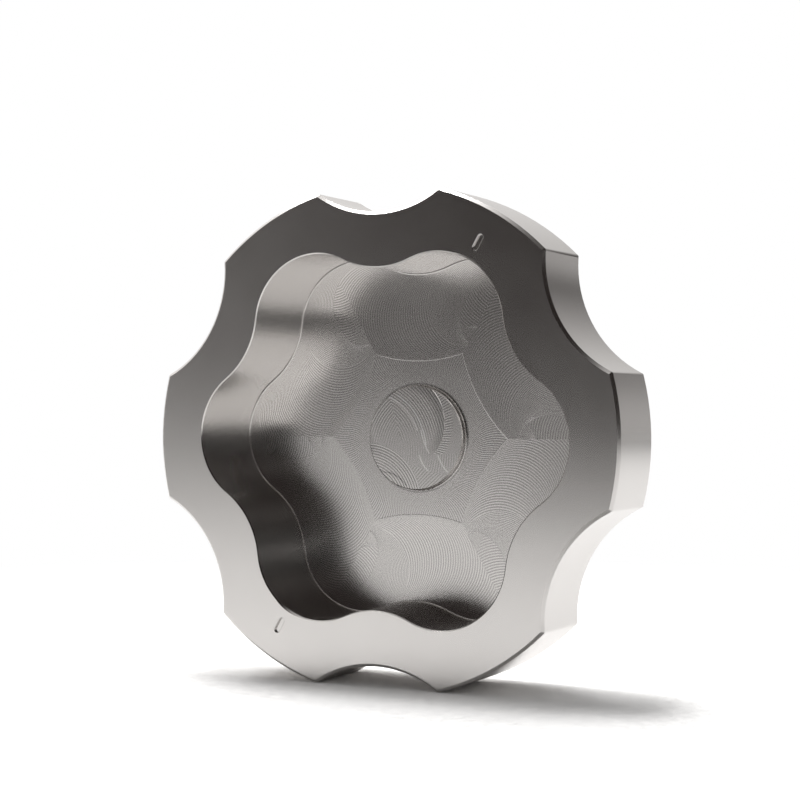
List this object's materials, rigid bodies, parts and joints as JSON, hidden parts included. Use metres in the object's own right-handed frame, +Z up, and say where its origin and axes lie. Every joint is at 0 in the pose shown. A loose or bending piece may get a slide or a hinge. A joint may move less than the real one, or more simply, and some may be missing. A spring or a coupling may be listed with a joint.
{
  "type": "power steering reservoir cap",
  "caption": "Push-on aluminium knob cap: scalloped grip outside, deep lobed socket underneath that goes over a plastic reservoir cap.",
  "frame": {"origin": "on the surface the cap stands on, below the middle of its thickness, half way between the two tips of the rim that it stands on", "axes": "+Z up, +Y along the cap's axis from the socket's mouth to the closed back, +X across, with a plain lobe of the grip at +X"},
  "size_m": [0.07, 0.016, 0.0674],
  "materials": {
    "machined_aluminium": "machined satin, bare"
  },
  "bodies": {
    "root": {"cap": "machined_aluminium"}
  },
  "joints": []
}
